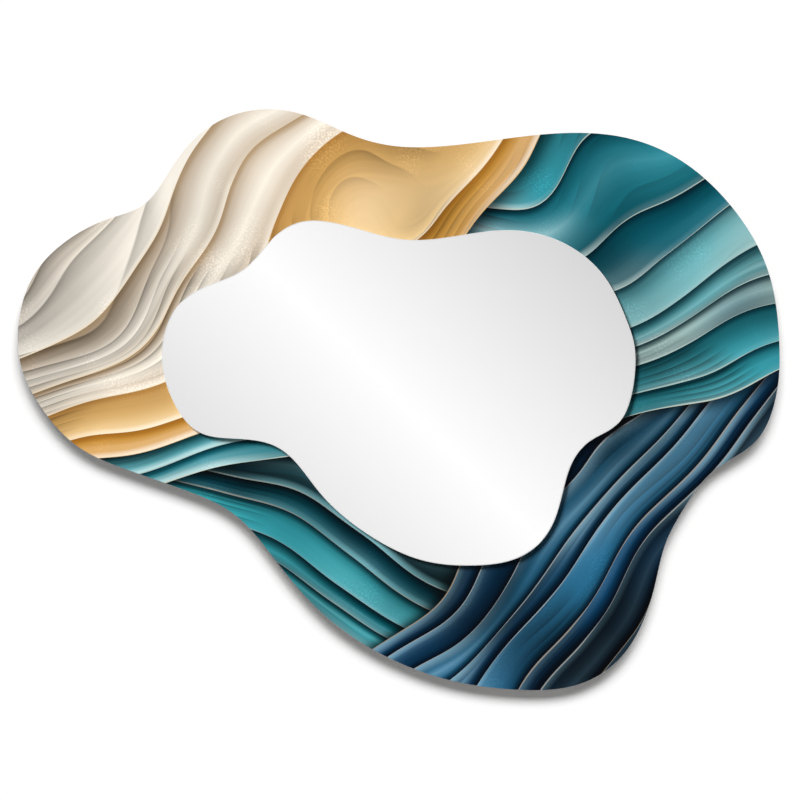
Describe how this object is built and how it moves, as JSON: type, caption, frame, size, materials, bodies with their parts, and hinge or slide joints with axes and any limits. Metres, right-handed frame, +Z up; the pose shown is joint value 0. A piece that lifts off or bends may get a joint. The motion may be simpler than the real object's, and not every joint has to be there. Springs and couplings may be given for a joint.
{
  "type": "irregular wall mirror",
  "caption": "Cloud-shaped wall mirror: silvered glass bonded to a larger printed board of irregular outline, hung on D rings.",
  "frame": {"origin": "on the wall plane, midway between the two hooks, at the height where the rings bear on them", "axes": "+X to the right seen from the front, +Y into the wall, +Z up; the front faces -Y"},
  "size_m": [0.8, 0.0219, 0.61],
  "materials": {
    "glass": "polished clear float glass",
    "silvering": "silver coating behind the glass",
    "tape": "white foam mounting tape",
    "adhesive": "cured mirror adhesive",
    "print": "satin printed film",
    "board": "medium density fibreboard",
    "backing": "matt balancing film",
    "plated_steel": "nickel plated",
    "rubber": "matt black"
  },
  "bodies": {
    "mirror_panel": {"mirror_glass": "glass", "mirror_silvering": "silvering", "mounting_tape_1": "tape", "mounting_tape_2": "tape", "mounting_tape_3": "tape", "mounting_tape_4": "tape", "mounting_tape_5": "tape", "mounting_tape_6": "tape", "adhesive_dab_1": "adhesive", "adhesive_dab_2": "adhesive", "adhesive_dab_3": "adhesive", "adhesive_dab_4": "adhesive", "adhesive_dab_5": "adhesive", "print_film": "print", "panel_board": "board", "backing_film": "backing", "hanger_strap_left": "plated_steel", "hanger_strap_right": "plated_steel", "hanger_screw_left_1": "plated_steel", "hanger_screw_left_2": "plated_steel", "hanger_screw_right_1": "plated_steel", "hanger_screw_right_2": "plated_steel", "wall_bumper_1": "rubber", "wall_bumper_2": "rubber", "wall_bumper_3": "rubber", "wall_bumper_4": "rubber"},
    "ring_left": {"hanger_ring_left": "plated_steel"},
    "ring_right": {"hanger_ring_right": "plated_steel"}
  },
  "joints": [
    {"name": "ring_left_swing", "type": "hinge", "parent": "mirror_panel", "child": "ring_left", "pos_m": [-0.18, -0.0055, -0.0118], "axis": [-1, 0, 0], "range_deg": [-4, 174]},
    {"name": "ring_right_swing", "type": "hinge", "parent": "mirror_panel", "child": "ring_right", "pos_m": [0.18, -0.0055, -0.0118], "axis": [-1, 0, 0], "range_deg": [-4, 174]}
  ]
}
